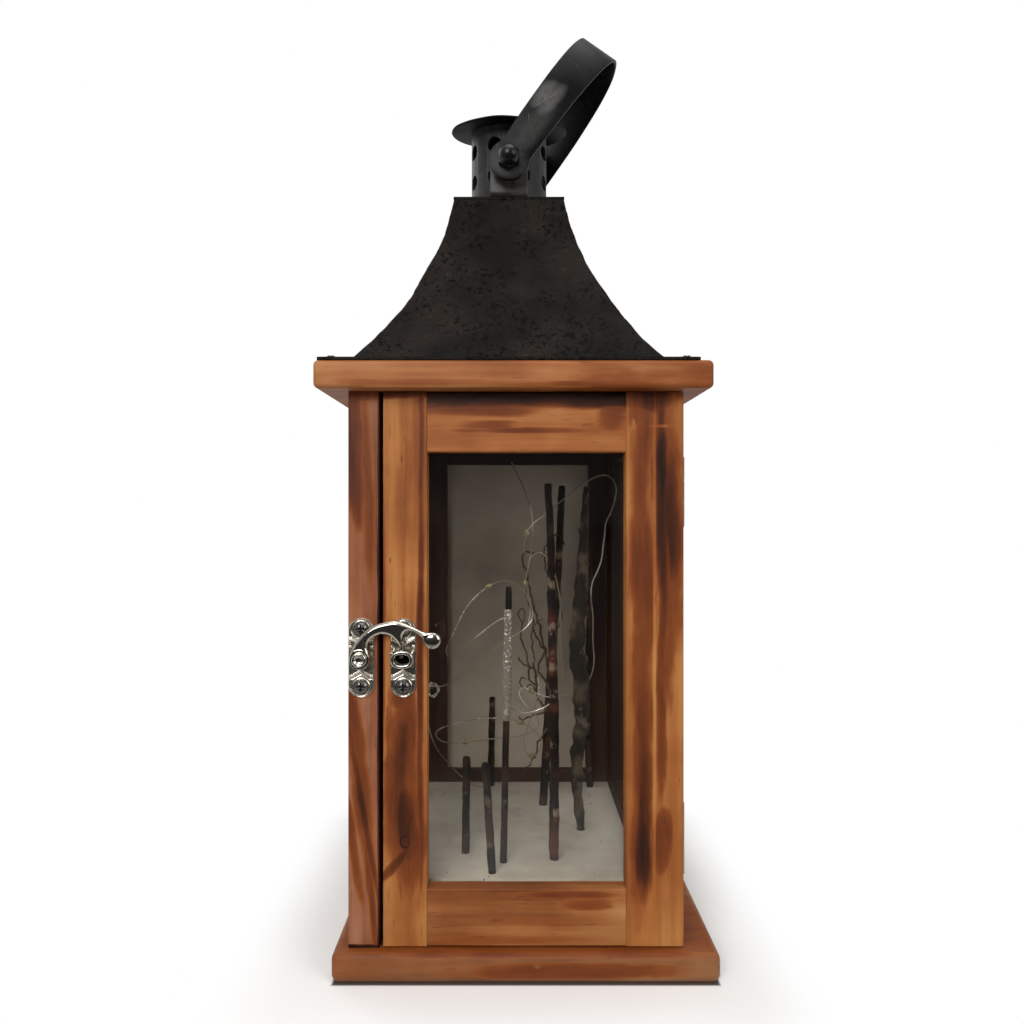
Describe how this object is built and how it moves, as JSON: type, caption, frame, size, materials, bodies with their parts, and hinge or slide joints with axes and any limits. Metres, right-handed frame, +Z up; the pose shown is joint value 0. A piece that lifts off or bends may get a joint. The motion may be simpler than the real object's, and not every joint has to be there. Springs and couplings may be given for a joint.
{
  "type": "wooden lantern",
  "caption": "Square wooden lantern with a hinged glass door, swing hook latch, flared metal roof, vented chimney, carrying bail and a lit twig display on a pale floor.",
  "frame": {"origin": "on the underside of the base board, below the middle of the case", "axes": "+X to the right as seen from the door, +Y towards the back, +Z up"},
  "size_m": [0.1403, 0.1384, 0.3614],
  "materials": {
    "case_wood": "scorched pine, matt",
    "door_wood": "scorched pine, matt",
    "board_wood": "scorched pine, matt",
    "clear_glass": "clear, polished",
    "black_metal": "black, satin",
    "nickel": "bright nickel plate",
    "plain_steel": "zinc plated",
    "floor_foam": "pale foam, matt",
    "bark": "dry bark",
    "bare_wire": "bare silvery wire",
    "clear_resin": "clear resin over a lamp",
    "box_plastic": "black, moulded",
    "cell_jacket": "plain silver jacket"
  },
  "bodies": {
    "lantern": {"base_board": "board_wood", "top_board": "board_wood", "left_front_post": "case_wood", "left_rear_post": "case_wood", "left_top_rail": "case_wood", "left_bottom_rail": "case_wood", "left_glass": "clear_glass", "right_front_post": "case_wood", "right_rear_post": "case_wood", "right_top_rail": "case_wood", "right_bottom_rail": "case_wood", "right_glass": "clear_glass", "back_left_stile": "case_wood", "back_right_stile": "case_wood", "back_top_rail": "case_wood", "back_bottom_rail": "case_wood", "back_glass": "clear_glass", "door_stop": "case_wood", "case_screws": "plain_steel", "roof_shell": "black_metal", "roof_top_plate": "black_metal", "roof_screws": "black_metal", "chimney_tube": "black_metal", "chimney_cap": "black_metal", "bail_brackets": "black_metal", "bail_bolts": "black_metal", "bail_spacers": "black_metal", "bail_cap_nuts": "black_metal", "latch_plate": "nickel", "latch_plate_screws": "nickel", "latch_rivet": "nickel", "hinge_frame_leaves": "plain_steel", "hinge_pins": "plain_steel", "hinge_frame_screws": "plain_steel", "snow_bed": "floor_foam", "short_twigs": "bark", "wrapped_twig": "bark", "tall_twig": "bark", "leaning_twig": "bark", "knotty_twig": "bark", "back_twig": "bark", "light_string": "bare_wire", "light_drops": "clear_resin", "battery_box": "box_plastic", "battery_cover": "box_plastic", "battery_cells": "cell_jacket", "battery_contacts": "plain_steel"},
    "door": {"door_left_stile": "door_wood", "door_right_stile": "door_wood", "door_top_rail": "door_wood", "door_bottom_rail": "door_wood", "door_glass": "clear_glass", "door_glazing_tabs": "plain_steel", "catch_plate": "nickel", "catch_plate_screws": "nickel", "hinge_door_leaves": "plain_steel", "hinge_door_screws": "plain_steel"},
    "latch_arm": {"latch_arm": "nickel"},
    "bail": {"bail": "black_metal"},
    "switch_knob": {"switch_knob": "box_plastic"}
  },
  "joints": [
    {"name": "door_hinge", "type": "hinge", "parent": "lantern", "child": "door", "pos_m": [0.0594, -0.0496, 0.1077], "axis": [0, 0, 1], "range_deg": [0, 180]},
    {"name": "latch_pivot", "type": "hinge", "parent": "lantern", "child": "latch_arm", "pos_m": [-0.0541, -0.0615, 0.1119], "axis": [0, -1, 0], "range_deg": [0, 90]},
    {"name": "bail_pivot", "type": "hinge", "parent": "lantern", "child": "bail", "pos_m": [-0.0025, 0, 0.301], "axis": [0, 1, 0], "range_deg": [-154, 84]},
    {"name": "switch_slide", "type": "slide", "parent": "lantern", "child": "switch_knob", "axis": [1, 0, 0], "range_m": [0, 0.003]}
  ]
}
